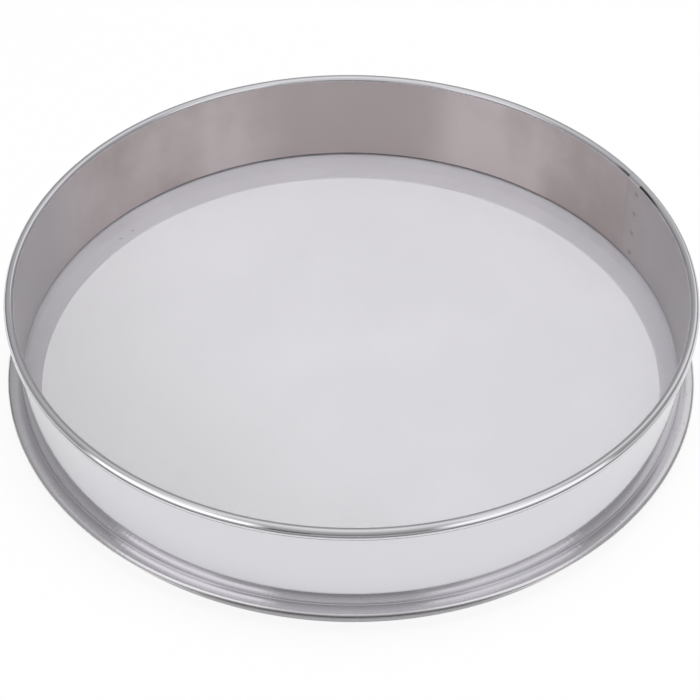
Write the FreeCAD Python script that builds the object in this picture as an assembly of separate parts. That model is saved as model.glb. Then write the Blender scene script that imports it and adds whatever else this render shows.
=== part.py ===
"""Tamis drum sieve: a sheet steel hoop with a wired rim, a fine screen and a crimped base ring.

Millimetres, +Z up. The origin is on the drum's axis, at the surface that the sieve stands on.
"""
import FreeCAD, Part
import math
import os

from FreeCAD import Vector

# Drum
drum_inner_diameter = 291.4
total_height = 56.0
hoop_sheet = 0.6

# Rolled rim
rim_wire_diameter = 3.0
rim_wire_clearance = 0.05
rim_wire_butt_gap = 1.0
curl_drop = 1.2
curl_end_gap = 0.15

# Screen, a thin disc with a coarse grid of openings that stands for the fine woven cloth: the openings
# take up the same share of it
screen_thickness = 0.4
screen_height = 9.0
screen_opening = 15.2
screen_bar = 7.6
screen_border = 1.0
screen_grid_angle = 8.0
least_opening_share = 0.3

# Hoop flange and the crimp that closes over it
hoop_bend_radius = 1.0
flange_reach = 4.8
crimp_edge_gap = 0.5
lip_gap = 0.1

# Base ring
base_sheet = 0.8
skirt_step = 1.55
skirt_top_bend_radius = 0.6
skirt_foot_bend_radius = 1.0
rest_flange_width = 9.2

# Lap of the hoop and its spot welds, at an angle from +X towards +Y
hoop_seam_angle = 27.9
hoop_seam_gap = 0.4
hoop_lap_width = 11.5
hoop_lap_root = 1.0
hoop_lap_margin = 0.6
hoop_weld_count = 4
hoop_weld_diameter = 2.6
hoop_weld_offset = 3.0
hoop_weld_margin = 3.6

# Lap of the base ring and its spot welds
base_seam_angle = 140.0
base_seam_gap = 0.4
base_lap_width = 16.0
base_lap_root = 4.0
base_lap_margin = 1.0
base_weld_count = 2
base_weld_diameter = 2.6

# Spot welds: how deep each one goes into the second sheet, and how far its face is sunk
weld_depth_share = 0.4
weld_dimple_share = 0.2

# Flats that stand for the round of a bend, of the curl's end, of the crimp's fold, of a quarter of
# the rim's curl and of a weld spot
bend_flat_count = 1
curl_end_flat_count = 2
fold_flat_count = 3
curl_quarter_flat_count = 2
weld_flat_count = 8

# Cuts run past the faces that they open by this much
overrun = 2.0

UP = Vector(0, 0, 1)
OUTWARDS = Vector(1, 0, 0)
CENTRE = Vector(0, 0, 0)
FULL_TURN = 360.0
QUARTER_TURN = 90.0

# Worked out from the sizes above
wall_inner = drum_inner_diameter / 2
wall_middle = wall_inner + hoop_sheet / 2
wall_outer = wall_inner + hoop_sheet

wire_radius = rim_wire_diameter / 2
wire_flat_count = 4 * curl_quarter_flat_count
curl_middle_radius = wire_radius + rim_wire_clearance + hoop_sheet / 2
curl_outer_radius = curl_middle_radius + hoop_sheet / 2
curl_centre_radius = wall_middle + curl_middle_radius
curl_centre_height = total_height - curl_outer_radius

screen_top = screen_height + screen_thickness
flange_top = screen_top + hoop_sheet
flange_outer = wall_outer + flange_reach

fold_inner_radius = (flange_top - screen_height) / 2
fold_middle_radius = fold_inner_radius + base_sheet / 2
fold_centre_radius = flange_outer + crimp_edge_gap
lip_edge = wall_outer + hoop_bend_radius + lip_gap

skirt_outer = wall_outer + skirt_step
skirt_middle = skirt_outer - base_sheet / 2
rest_flange_inner = skirt_outer - rest_flange_width


class BentStrip:
    """Cross-section of a sheet strip, drawn along its middle line by straight runs and bends.

    The bends are small beside the drum, so each is drawn as a few flats.
    """

    def __init__(self, radius, height, heading, sheet):
        """Start at a radius and height, facing a heading in degrees from outwards to up."""
        self.point = Vector(radius, 0, height)
        self.heading = heading
        self.half = sheet / 2
        self.left = []
        self.right = []

    def forward(self):
        """Unit vector along the strip."""
        turn = math.radians(self.heading)
        return Vector(math.cos(turn), 0, math.sin(turn))

    def side(self, ahead=0):
        """Unit vector to the left of the strip, now or after it has turned by an angle."""
        turn = math.radians(self.heading + ahead)
        return Vector(-math.sin(turn), 0, math.cos(turn))

    def run(self, length):
        """Go straight on."""
        end = self.point + self.forward() * length
        offset = self.side() * self.half
        self.left.append(Part.LineSegment(self.point + offset, end + offset))
        self.right.append(Part.LineSegment(self.point - offset, end - offset))
        self.point = end

    def bend(self, middle_radius, angle, flats):
        """Turn by an angle, to the left if it is positive, in a number of equal flats."""
        sense = math.copysign(1, angle)
        pivot = self.point + self.side() * (sense * middle_radius)
        for edges, offset in ((self.left, self.half), (self.right, -self.half)):
            spoke = offset - sense * middle_radius
            points = []
            for index in range(flats + 1):
                points.append(pivot + self.side(angle * index / flats) * spoke)
            for start, end in zip(points, points[1:]):
                edges.append(Part.LineSegment(start, end))
        self.heading += angle
        self.point = pivot - self.side() * (sense * middle_radius)

    def face(self):
        """The closed cross-section."""
        first = Part.LineSegment(self.right[0].StartPoint, self.left[0].StartPoint)
        last = Part.LineSegment(self.left[-1].EndPoint, self.right[-1].EndPoint)
        curves = [first] + self.left + [last] + self.right
        edges = Part.__sortEdges__([curve.toShape() for curve in curves])
        return Part.Face(Part.Wire(edges))


def spin(face, angle=FULL_TURN):
    """Solid of revolution about the drum's axis."""
    return face.revolve(CENTRE, UP, angle)


def turned(shape, angle):
    """The shape turned about the drum's axis."""
    copy = shape.copy()
    copy.rotate(CENTRE, UP, angle)
    return copy


def ring_sector(inner, outer, low, high, angle):
    """Part of a flat ring, centred on +X."""
    corners = [(inner, low), (outer, low), (outer, high), (inner, high), (inner, low)]
    face = Part.Face(Part.makePolygon([Vector(radius, 0, height) for radius, height in corners]))
    return turned(spin(face, angle), -angle / 2)


def arc_angle(length, radius):
    """Angle in degrees that a length takes up along a circle."""
    return math.degrees(length / radius)


def flatted_round(centre, normal, radius, flats):
    """Face of a round section, drawn with a number of flats."""
    across = UP.cross(normal)
    if across.Length == 0:
        across = OUTWARDS
    up = normal.cross(across)
    points = []
    for index in range(flats + 1):
        turn = math.radians(FULL_TURN * index / flats)
        points.append(centre + across * (radius * math.cos(turn)) + up * (radius * math.sin(turn)))
    return Part.Face(Part.makePolygon(points))


def peg(start, direction, radius, length):
    """Short round peg from a point along a direction."""
    return flatted_round(start, direction, radius, weld_flat_count).extrude(direction * length)


def radial_slot(width, inner, outer, low, high):
    """Box across the sheet on +X, for cutting a gap between the ends of a strip."""
    return Part.makeBox(outer - inner, width, high - low, Vector(inner, -width / 2, low))


def hoop_section():
    """Flange, bend, straight wall and the curl that goes over the rim wire and down beside it."""
    bend_middle = hoop_bend_radius + hoop_sheet / 2
    flange_middle = screen_top + hoop_sheet / 2
    strip = BentStrip(flange_outer, flange_middle, 2 * QUARTER_TURN, hoop_sheet)
    strip.run(flange_outer - wall_middle - bend_middle)
    strip.bend(bend_middle, -QUARTER_TURN, bend_flat_count)
    strip.run(curl_centre_height - flange_middle - bend_middle)
    clear_reach = curl_middle_radius - hoop_sheet / 2 - curl_end_gap
    open_angle = math.degrees(math.acos(clear_reach / curl_outer_radius))
    strip.bend(curl_middle_radius, -2 * QUARTER_TURN, 2 * curl_quarter_flat_count)
    strip.run(curl_drop)
    strip.bend(curl_middle_radius, open_angle - 2 * QUARTER_TURN, curl_end_flat_count)
    return strip.face()


def hoop_lap_span():
    """Lowest and highest point of the lap, on the straight part of the wall."""
    low = flange_top + hoop_bend_radius + hoop_lap_margin
    return low, curl_centre_height - hoop_lap_margin


def hoop_weld_heights():
    """Heights of the spot welds, spread evenly between the margins at the lap's ends."""
    low, high = hoop_lap_span()
    pitch = (high - low - 2 * hoop_weld_margin) / (hoop_weld_count - 1)
    return [low + hoop_weld_margin + pitch * index for index in range(hoop_weld_count)]


def hoop_welds(face_sink):
    """Pegs across the lap near its free edge, each with its face sunk, in the frame of the seam."""
    start = wall_inner - hoop_sheet + face_sink
    end = wall_inner + hoop_sheet * weld_depth_share
    turn = -arc_angle(hoop_weld_offset, wall_inner)
    pegs = []
    for height in hoop_weld_heights():
        weld = peg(Vector(start, 0, height), OUTWARDS, hoop_weld_diameter / 2, end - start)
        pegs.append(turned(weld, turn))
    return pegs


def frame_hoop():
    """The drum wall: a rolled strip whose end is lapped on the inside and spot welded."""
    hoop = spin(hoop_section())
    lap_angle = arc_angle(hoop_lap_width, wall_inner)
    gap_angle = lap_angle / 2 - arc_angle(hoop_lap_root, wall_inner)
    rim_reach = curl_centre_radius + curl_outer_radius + overrun
    gap = radial_slot(hoop_seam_gap, wall_inner - overrun, rim_reach, 0, total_height + overrun)
    hoop = hoop.cut(turned(gap, gap_angle))
    low, high = hoop_lap_span()
    lap = ring_sector(wall_inner - hoop_sheet, wall_middle, low, high, lap_angle)
    hoop = hoop.fuse(lap)
    hoop = hoop.cut(hoop_welds(-overrun))
    return turned(hoop, hoop_seam_angle)


def hoop_spot_welds():
    """Weld spots that fill their pockets in the lap, each with a sunk face."""
    pegs = hoop_welds(hoop_sheet * weld_dimple_share)
    return turned(Part.makeCompound(pegs), hoop_seam_angle)


def rim_wire():
    """Wire inside the curl, its ends butted near the seam."""
    centre = Vector(curl_centre_radius, 0, curl_centre_height)
    section = flatted_round(centre, Vector(0, 1, 0), wire_radius, wire_flat_count)
    open_angle = arc_angle(rim_wire_butt_gap, curl_centre_radius)
    wire = spin(section, FULL_TURN - open_angle)
    return turned(wire, hoop_seam_angle - arc_angle(hoop_lap_width, wall_inner))


def flat_disc(radius):
    """Round face at the underside of the screen."""
    return Part.Face(Part.Wire(Part.makeCircle(radius, Vector(0, 0, screen_height))))


def screen_openings():
    """Square faces in rows, trimmed by a border inside the rest flange."""
    clear_radius = rest_flange_inner - screen_border
    clear = flat_disc(clear_radius)
    pitch = screen_opening + screen_bar
    half_count = math.floor(clear_radius / pitch)
    openings = []
    for column in range(-half_count, half_count):
        for row in range(-half_count, half_count):
            corner = Vector(column * pitch + screen_bar / 2, row * pitch + screen_bar / 2, screen_height)
            square = Part.makePlane(screen_opening, screen_opening, corner)
            opening = square.common(clear)
            if opening.Area > square.Area * least_opening_share:
                openings.append(opening)
    return openings


def mesh_screen():
    """Disc of wire cloth, held by its edge in the crimp."""
    cloth = flat_disc(flange_outer).cut(screen_openings())
    return turned(cloth.Faces[0].extrude(UP * screen_thickness), screen_grid_angle)


def base_section():
    """Rest flange, skirt, seat for the screen and the fold that closes over the hoop's flange."""
    foot_middle = skirt_foot_bend_radius + base_sheet / 2
    top_middle = skirt_top_bend_radius + base_sheet / 2
    seat_middle = screen_height - base_sheet / 2
    strip = BentStrip(rest_flange_inner, base_sheet / 2, 0, base_sheet)
    strip.run(skirt_middle - foot_middle - rest_flange_inner)
    strip.bend(foot_middle, QUARTER_TURN, bend_flat_count)
    strip.run(seat_middle - top_middle - foot_middle - base_sheet / 2)
    strip.bend(top_middle, -QUARTER_TURN, bend_flat_count)
    strip.run(fold_centre_radius - skirt_middle - top_middle)
    strip.bend(fold_middle_radius, 2 * QUARTER_TURN, fold_flat_count)
    strip.run(fold_centre_radius - lip_edge)
    return strip.face()


def base_lap_span():
    """Inner and outer radius of the lap on the rest flange."""
    flat_outer = skirt_outer - base_sheet - skirt_foot_bend_radius
    return rest_flange_inner + base_lap_margin, flat_outer - base_lap_margin


def base_welds(face_sink):
    """Pegs down through the lap on the rest flange, in the frame of the seam."""
    inner, outer = base_lap_span()
    radius = (inner + outer) / 2
    top = 2 * base_sheet - face_sink
    bottom = base_sheet * (1 - weld_depth_share)
    pitch = arc_angle(base_lap_width / base_weld_count, radius)
    pegs = []
    for index in range(base_weld_count):
        weld = peg(Vector(radius, 0, bottom), UP, base_weld_diameter / 2, top - bottom)
        pegs.append(turned(weld, pitch * (index - (base_weld_count - 1) / 2)))
    return pegs


def base_ring():
    """The foot: a rolled strip whose end is lapped on the rest flange and spot welded."""
    ring = spin(base_section())
    inner, outer = base_lap_span()
    lap_angle = arc_angle(base_lap_width, inner)
    gap_angle = lap_angle / 2 - arc_angle(base_lap_root, inner)
    reach = fold_centre_radius + fold_middle_radius + base_sheet + overrun
    top = flange_top + base_sheet + overrun
    gap = radial_slot(base_seam_gap, rest_flange_inner - overrun, reach, -overrun, top)
    ring = ring.cut(turned(gap, gap_angle))
    ring = ring.fuse(ring_sector(inner, outer, base_sheet / 2, 2 * base_sheet, lap_angle))
    ring = ring.cut(base_welds(-overrun))
    return turned(ring, base_seam_angle)


def base_spot_welds():
    """Weld spots that fill their pockets in the rest flange's lap."""
    pegs = base_welds(base_sheet * weld_dimple_share)
    return turned(Part.makeCompound(pegs), base_seam_angle)


PIECES = {
    "frame_hoop": frame_hoop,
    "rim_wire": rim_wire,
    "mesh_screen": mesh_screen,
    "base_ring": base_ring,
    "hoop_spot_welds": hoop_spot_welds,
    "base_spot_welds": base_spot_welds,
}


def main():
    """Build every piece and write it to its own file."""
    os.makedirs("parts", exist_ok=True)
    for name, build in PIECES.items():
        shape = build()
        shape.exportStep("parts/" + name + ".step")
        print(name, len(shape.Solids), "solids", round(shape.Volume, 1), "mm3", shape.isValid())


main()
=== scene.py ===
"""Looks of a tamis drum sieve: polished hoop, wired rim, fine wire screen and crimped foot, in metres."""
import logging
import math
from dataclasses import dataclass, field
from enum import Enum
from typing import Any, Dict, List, Optional, Sequence, Tuple, Union

import bmesh
import bpy
from mathutils import Matrix, Vector, noise


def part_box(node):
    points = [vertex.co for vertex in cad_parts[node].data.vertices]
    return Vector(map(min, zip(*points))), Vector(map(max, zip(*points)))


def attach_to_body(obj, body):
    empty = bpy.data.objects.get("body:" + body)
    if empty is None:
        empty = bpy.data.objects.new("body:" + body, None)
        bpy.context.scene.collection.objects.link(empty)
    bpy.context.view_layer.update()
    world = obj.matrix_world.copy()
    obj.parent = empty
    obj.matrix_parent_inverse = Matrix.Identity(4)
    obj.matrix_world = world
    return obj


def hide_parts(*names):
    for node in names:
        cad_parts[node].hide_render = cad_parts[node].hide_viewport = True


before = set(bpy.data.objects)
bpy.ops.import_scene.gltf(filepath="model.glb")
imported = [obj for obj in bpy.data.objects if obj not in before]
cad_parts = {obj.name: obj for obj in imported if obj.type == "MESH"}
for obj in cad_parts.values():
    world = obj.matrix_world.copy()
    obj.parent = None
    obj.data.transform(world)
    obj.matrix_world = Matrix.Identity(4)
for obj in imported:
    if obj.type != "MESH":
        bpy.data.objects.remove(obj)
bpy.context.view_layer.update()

MM = 0.001
BODY = "root"
LOG = logging.getLogger("tamis")

Colour = Tuple[float, float, float]
Point = Tuple[float, float]
Grid = List[List[Vector]]

WHITE: Colour = (1.0, 1.0, 1.0)


def top_of(node: str) -> float:
    """Height of the highest point of a node of the frame."""
    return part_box(node)[1].z


def bottom_of(node: str) -> float:
    """Height of the lowest point of a node of the frame."""
    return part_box(node)[0].z


def reach_of(node: str) -> float:
    """Largest distance of a ring node of the frame from the drum's axis."""
    low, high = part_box(node)
    return max(-low.x, -low.y, high.x, high.y)


class Signal:
    """A node's output that takes part in arithmetic: each operator adds a Math node."""

    def __init__(self, graph: "Graph", socket: bpy.types.NodeSocket) -> None:
        """Wrap an output of a node of a graph."""
        self.graph = graph
        self.socket = socket

    def math(self, operation: str, first: "Value", second: "Value" = 0.0) -> "Signal":
        """Add a Math node.

        Args:
            operation: the Math node's operation.
            first: the first operand.
            second: the second operand, where the operation has one.

        Returns:
            The node's result.
        """
        settings = {"operation": operation}
        made = self.graph.node("ShaderNodeMath", settings, {"Value": first, "Value_001": second})
        return Signal(self.graph, made.outputs[0])

    def __add__(self, other: "Value") -> "Signal":
        """Sum."""
        return self.math("ADD", self, other)

    def __radd__(self, other: "Value") -> "Signal":
        """Sum with a number on the left."""
        return self.math("ADD", other, self)

    def __sub__(self, other: "Value") -> "Signal":
        """Difference."""
        return self.math("SUBTRACT", self, other)

    def __rsub__(self, other: "Value") -> "Signal":
        """Difference from a number on the left."""
        return self.math("SUBTRACT", other, self)

    def __mul__(self, other: "Value") -> "Signal":
        """Product."""
        return self.math("MULTIPLY", self, other)

    def __rmul__(self, other: "Value") -> "Signal":
        """Product with a number on the left."""
        return self.math("MULTIPLY", other, self)

    def __truediv__(self, other: "Value") -> "Signal":
        """Quotient."""
        return self.math("DIVIDE", self, other)

    def __rtruediv__(self, other: "Value") -> "Signal":
        """Quotient of a number on the left."""
        return self.math("DIVIDE", other, self)

    def __pow__(self, other: "Value") -> "Signal":
        """Power."""
        return self.math("POWER", self, other)

    def __rpow__(self, other: "Value") -> "Signal":
        """Power of a number on the left."""
        return self.math("POWER", other, self)

    def root(self) -> "Signal":
        """Square root."""
        return self.math("SQRT", self)

    def larger(self, other: "Value") -> "Signal":
        """The larger of the two."""
        return self.math("MAXIMUM", self, other)


Value = Union[Signal, float, Sequence[float]]


def socket_of(sockets: bpy.types.bpy_prop_collection, name: Union[int, str]) -> bpy.types.NodeSocket:
    """Find one of a node's inputs or outputs.

    Args:
        sockets: the node's inputs or outputs.
        name: the socket's identifier or, where none is the same, its name or number.

    Returns:
        The socket.
    """
    for socket in sockets:
        if socket.identifier == name:
            return socket
    return sockets[name]


class Graph:
    """A node tree that is filled through one node-making method."""

    def __init__(self, tree: bpy.types.NodeTree) -> None:
        """Wrap a shader, world or geometry tree."""
        self.tree = tree

    def node(
        self,
        kind: str,
        settings: Optional[Dict[str, Any]] = None,
        sockets: Optional[Dict[str, Value]] = None,
    ) -> bpy.types.Node:
        """Add a node.

        Args:
            kind: the node's type.
            settings: its properties, set before its sockets.
            sockets: values or links of its inputs, by identifier or name.

        Returns:
            The node.
        """
        made = self.tree.nodes.new(kind)
        for name, value in (settings or {}).items():
            setattr(made, name, value)
        for name, value in (sockets or {}).items():
            self.feed(socket_of(made.inputs, name), value)
        return made

    def feed(self, socket: bpy.types.NodeSocket, value: Value) -> None:
        """Link or set an input.

        Args:
            socket: the input.
            value: a signal, which is linked, or the value that is set.
        """
        if isinstance(value, Signal):
            self.tree.links.new(value.socket, socket)
        else:
            socket.default_value = value

    def signal(
        self,
        kind: str,
        settings: Optional[Dict[str, Any]] = None,
        sockets: Optional[Dict[str, Value]] = None,
        output: Union[int, str] = 0,
    ) -> Signal:
        """Add a node and return one of its outputs as a signal."""
        return Signal(self, socket_of(self.node(kind, settings, sockets).outputs, output))

    def vector(self, x: Value, y: Value, z: Value) -> Signal:
        """A vector of three values."""
        return self.signal("ShaderNodeCombineXYZ", {}, {"X": x, "Y": y, "Z": z})

    def axes(self, vector: Signal) -> Tuple[Signal, ...]:
        """The three values of a vector."""
        split = self.node("ShaderNodeSeparateXYZ", {}, {"Vector": vector})
        return tuple(Signal(self, split.outputs[axis]) for axis in "XYZ")

    def ramp(self, value: Value, start: float, end: float) -> Signal:
        """Smooth step of a value, from 0 at start to 1 at end."""
        sockets = {"Value": value, "From Min": start, "From Max": end}
        return self.signal("ShaderNodeMapRange", {"interpolation_type": "SMOOTHSTEP"}, sockets)

    def blend(self, share: Value, first: Value, second: Value) -> Signal:
        """Colour between two, by a share from 0 to 1."""
        sockets = {"Factor_Float": share, "A_Color": first, "B_Color": second}
        return self.signal("ShaderNodeMix", {"data_type": "RGBA"}, sockets, "Result_Color")


def rgba(colour: Colour) -> Tuple[float, float, float, float]:
    """A colour with full opacity."""
    return (*colour, 1.0)


class SurfaceGraph(Graph):
    """Nodes of one material, with the drum's own coordinates at hand."""

    def __init__(self, name: str) -> None:
        """Start a material with an empty tree and the object's coordinates.

        Args:
            name: the material's name.
        """
        self.material = bpy.data.materials.new(name)
        self.material.use_nodes = True
        super().__init__(self.material.node_tree)
        self.tree.nodes.clear()
        self.x, self.y, self.z = self.axes(self.signal("ShaderNodeTexCoord", output="Object"))
        self.radius = (self.x * self.x + self.y * self.y).root()

    def rear(self) -> Signal:
        """Share of the radius along Y: 1 at the drum's rear and -1 at its front."""
        return self.y / self.radius

    def noise(self, place: Signal, scale: float, detail: float) -> Signal:
        """Noise from 0 to 1 at a place."""
        sockets = {"Vector": place, "Scale": scale, "Detail": detail}
        return self.signal("ShaderNodeTexNoise", {}, sockets)

    def grain(self, around: float, along: float, detail: float = 3.0) -> Signal:
        """Noise stretched round the drum.

        Args:
            around: marks per metre round the drum.
            along: marks per metre across the sheet.
            detail: octaves of the noise.

        Returns:
            The noise, from 0 to 1.
        """
        across = (self.z + self.radius) * along
        return self.noise(self.vector(self.x * around, self.y * around, across), 1.0, detail)

    def rays(self, count: float, detail: float = 2.0) -> Signal:
        """Noise that changes only with the angle round the drum."""
        place = self.vector(self.x / self.radius, self.y / self.radius, 0.0)
        return self.noise(place, count, detail)

    def cloud(self, scale: float, detail: float = 2.0) -> Signal:
        """Even noise of a number of marks per metre."""
        return self.noise(self.vector(self.x, self.y, self.z), scale, detail)

    def bump(self, height: Value, depth: float) -> Signal:
        """Normal from a height between 0 and 1 of a depth in metres."""
        sockets = {"Height": height, "Distance": depth, "Strength": 1.0}
        return self.signal("ShaderNodeBump", {}, sockets)

    def glow(self, colour: Value) -> Signal:
        """A shader that shines with a colour."""
        return self.signal("ShaderNodeEmission", {}, {"Color": colour, "Strength": 1.0})

    def mix(self, share: Value, first: Signal, second: Signal) -> Signal:
        """A shader between two, by a share from 0 to 1."""
        sockets = {"Fac": share, "Shader": first, "Shader_001": second}
        return self.signal("ShaderNodeMixShader", {}, sockets)

    def end(self, shader: Signal) -> bpy.types.Material:
        """The material, its tree ended in a shader."""
        self.node("ShaderNodeOutputMaterial", {}, {"Surface": shader})
        return self.material

    def metal(self, sockets: Dict[str, Value]) -> bpy.types.Material:
        """The material, its tree ended in a metal with these inputs."""
        return self.end(self.signal("ShaderNodeBsdfPrincipled", {}, {"Metallic": 1.0, **sockets}))


# Lines that run round the drum spread a reflection up and down: a quarter turn from the default.
ROUND_LINES = {"Anisotropic Rotation": 0.25}


@dataclass(frozen=True)
class RimLine:
    """Painted shade: a dark line along the rim, in distances beside the seam: where it starts and where it
    tails off.
    """

    start: Point
    tail: Point
    share: float


@dataclass(frozen=True)
class HoopFinish:
    """Sheet polished outside and on its rim, satin inside, with painted shade in the groove at the wall's
    foot, along the rim's inner edge beside the seam and in the middle of the rear, and painted reflection
    bands on the satin side.

    A range holds the values at which a mark is absent and full. Marks are counted per metre, round the
    drum and across the sheet, and their heights are in depths of the lines. A rear range is in shares
    of the radius along Y.
    """

    name: str = "polished_sheet"
    outside: Colour = (0.695, 0.69, 0.72)
    # inside and inside_lit are a shaded and a lit copy of the satin side's colour: painted light
    inside: Colour = (0.62, 0.555, 0.545)
    inside_lit: Colour = (0.80, 0.73, 0.725)
    inside_grey: Colour = (0.66, 0.645, 0.655)
    # painted shade: near-black colour for the groove at the wall's foot and for the dark line on the rim's
    # inner edge
    groove_shade: Colour = (0.10, 0.09, 0.09)
    halo: Colour = (0.54, 0.50, 0.49)
    polish: float = 0.06
    satin: float = 0.46
    brushed: float = 0.85
    line_marks: Point = (30.0, 5200.0)
    line_depth: float = 2e-6
    line_rough: float = 0.02
    polished_line_share: float = 0.15
    scuff_marks: Point = (160.0, 700.0)
    scuff_range: Point = (0.55, 0.75)
    scuff_rough: float = 0.03
    scuff_height: float = 0.2
    # painted reflection: upright bands round the drum, mixed with cloudy stains
    reflection_band_count: float = 3.5
    reflection_band_share: float = 0.45
    cloud_marks: float = 24.0
    lit_band_range: Point = (0.36, 0.62)
    # painted shade in the middle of the rear of the satin side
    rear_shade_range: Point = (0.93, 0.985)
    rear_shade_share: float = 0.9
    warm_rear_range: Point = (0.25, 0.6)
    groove_shade_rise: float = 0.9 * MM
    rim_edge: float = 0.5 * MM
    halo_range_shares: Point = (0.75, 0.3)
    halo_share: float = 0.7
    halo_rough: float = 0.1
    # painted shade: where the dark line on the rim's inner edge lies and how far it reaches beside the
    # seam
    shade_line_across: Point = (0.95 * MM, 0.6 * MM)
    shade_line_rise: Point = (0.4 * MM, 0.9 * MM)
    shade_line_before: RimLine = RimLine((-4.0 * MM, -4.6 * MM), (-26.0 * MM, -12.0 * MM), 1.0)
    shade_line_after: RimLine = RimLine((4.4 * MM, 5.0 * MM), (17.0 * MM, 8.0 * MM), 0.8)
    seam_side: Point = (0.0, 10.0 * MM)

    def material(self, hoop: "FrameHoop") -> bpy.types.Material:
        """Make the material for a hoop.

        Args:
            hoop: gives the place between the sheet's two sides and the places of the welds.

        Returns:
            The material.
        """
        graph = SurfaceGraph(self.name)
        inside, depth = self.inside_mask(graph, hoop)
        below_rim = graph.ramp(graph.z, hoop.curl_height() + self.rim_edge, hoop.curl_height())
        satin = inside * below_rim
        # painted shade in the groove at the wall's foot, on the bend's inner side
        groove_shade = inside * graph.ramp(depth, 0.0, self.groove_shade_rise)
        halo = self.weld_halo(graph, hoop) * satin
        lines = graph.grain(*self.line_marks)
        scuffs = graph.grain(*self.scuff_marks, detail=4.0)
        colour = graph.blend(satin, rgba(self.outside), self.inside_colour(graph))
        # painted shade: a dark line on the rim's inner edge beside the seam
        colour = graph.blend(self.rim_shade_line(graph, hoop), colour, rgba(self.groove_shade))
        colour = graph.blend(halo * self.halo_share, colour, rgba(self.halo))
        # painted shade: the groove at the wall's foot is darkened
        colour = graph.blend(groove_shade, colour, rgba(self.groove_shade))
        scuffed = graph.ramp(scuffs, *self.scuff_range)
        smooth = self.polish + self.line_rough * lines + self.scuff_rough * scuffed
        rough = smooth + satin * (self.satin - self.polish) + self.halo_rough * halo
        felt = self.polished_line_share + (1.0 - self.polished_line_share) * satin
        normal = graph.bump(lines * felt + self.scuff_height * scuffs, self.line_depth)
        sockets = {"Base Color": colour, "Roughness": rough, "Normal": normal}
        return graph.metal({**sockets, "Anisotropic": self.brushed, **ROUND_LINES})

    def inside_colour(self, graph: SurfaceGraph) -> Signal:
        """Colour of the satin side: grey at the drum's sides, warmer and clouded towards its rear, with
        painted reflection bands round the drum and painted shade in the middle of the rear.

        Args:
            graph: the material's nodes.

        Returns:
            The colour.
        """
        # painted reflection: upright bands round the drum stand in for reflected light; the clouds are
        # stains
        reflection_bands = graph.rays(self.reflection_band_count, detail=3.0)
        clouds = graph.cloud(self.cloud_marks, detail=4.0)
        bands_and_stains = self.reflection_band_share * reflection_bands + (1.0 - self.reflection_band_share) * clouds
        # painted shade: the satin side is darker in the middle of the rear
        dark = self.rear_shade_share * graph.ramp(graph.rear(), *self.rear_shade_range)
        lit_share = graph.ramp(bands_and_stains, *self.lit_band_range) * (1.0 - dark)
        warm = graph.blend(lit_share, rgba(self.inside), rgba(self.inside_lit))
        towards_rear = graph.ramp(graph.rear(), *self.warm_rear_range)
        return graph.blend(towards_rear, rgba(self.inside_grey), warm)

    def inside_mask(self, graph: SurfaceGraph, hoop: "FrameHoop") -> Tuple[Signal, Signal]:
        """Mask of the sheet's inner side.

        Args:
            graph: the material's nodes.
            hoop: gives the sheet's thickness and the bend at its foot.

        Returns:
            The mask, and the depth below the start of the bend.
        """
        pivot_radius = hoop.wall_inner + hoop.sheet + hoop.bend_radius
        pivot_height = hoop.bottom + hoop.sheet + hoop.bend_radius
        depth = (pivot_height - graph.z).larger(0.0)
        out = (pivot_radius - graph.radius).larger(0.0)
        distance = (out * out + depth * depth).root()
        middle = hoop.bend_radius + hoop.sheet / 2
        return graph.ramp(distance, middle - hoop.sheet / 4, middle + hoop.sheet / 4), depth

    def rim_shade_line(self, graph: SurfaceGraph, hoop: "FrameHoop") -> Signal:
        """Mask of the painted shade, a dark line on the rim's inner edge on both sides of the seam, gone
        further off.

        Args:
            graph: the material's nodes.
            hoop: gives the places of the seam and the rim.

        Returns:
            The mask.
        """
        along = at_angle(Vector((1.0, 0.0)), hoop.seam_angle + math.pi / 2)
        beside = graph.x * along.x + graph.y * along.y
        inner = graph.ramp(graph.radius, *(hoop.wall_inner + across for across in self.shade_line_across))
        upper = graph.ramp(graph.z, *(hoop.curl_height() + rise for rise in self.shade_line_rise))
        near_seam = graph.ramp(graph.x * along.y - graph.y * along.x, *self.seam_side)
        before, after = (
            line.share * graph.ramp(beside, *line.tail) * graph.ramp(beside, *line.start)
            for line in (self.shade_line_before, self.shade_line_after)
        )
        return inner * upper * (before + after) * near_seam

    def weld_halo(self, graph: SurfaceGraph, hoop: "FrameHoop") -> Signal:
        """Mask of the tinted ring round each weld of the hoop's lap.

        Args:
            graph: the material's nodes.
            hoop: gives the places of the welds.

        Returns:
            The mask.
        """
        heights = hoop.weld_heights()
        pitch = heights[1] - heights[0]
        centre = at_angle(Vector((hoop.wall_inner, 0.0)), hoop.weld_angle())
        beside = (graph.x - centre.x) ** 2.0 + (graph.y - centre.y) ** 2.0
        steps = (graph.z - (heights[0] - pitch / 2)) / pitch
        above = (steps.math("FRACT", steps) - 0.5) * pitch
        distance = (beside + above * above).root()
        return graph.ramp(distance, *(hoop.weld_diameter * share for share in self.halo_range_shares))


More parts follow.
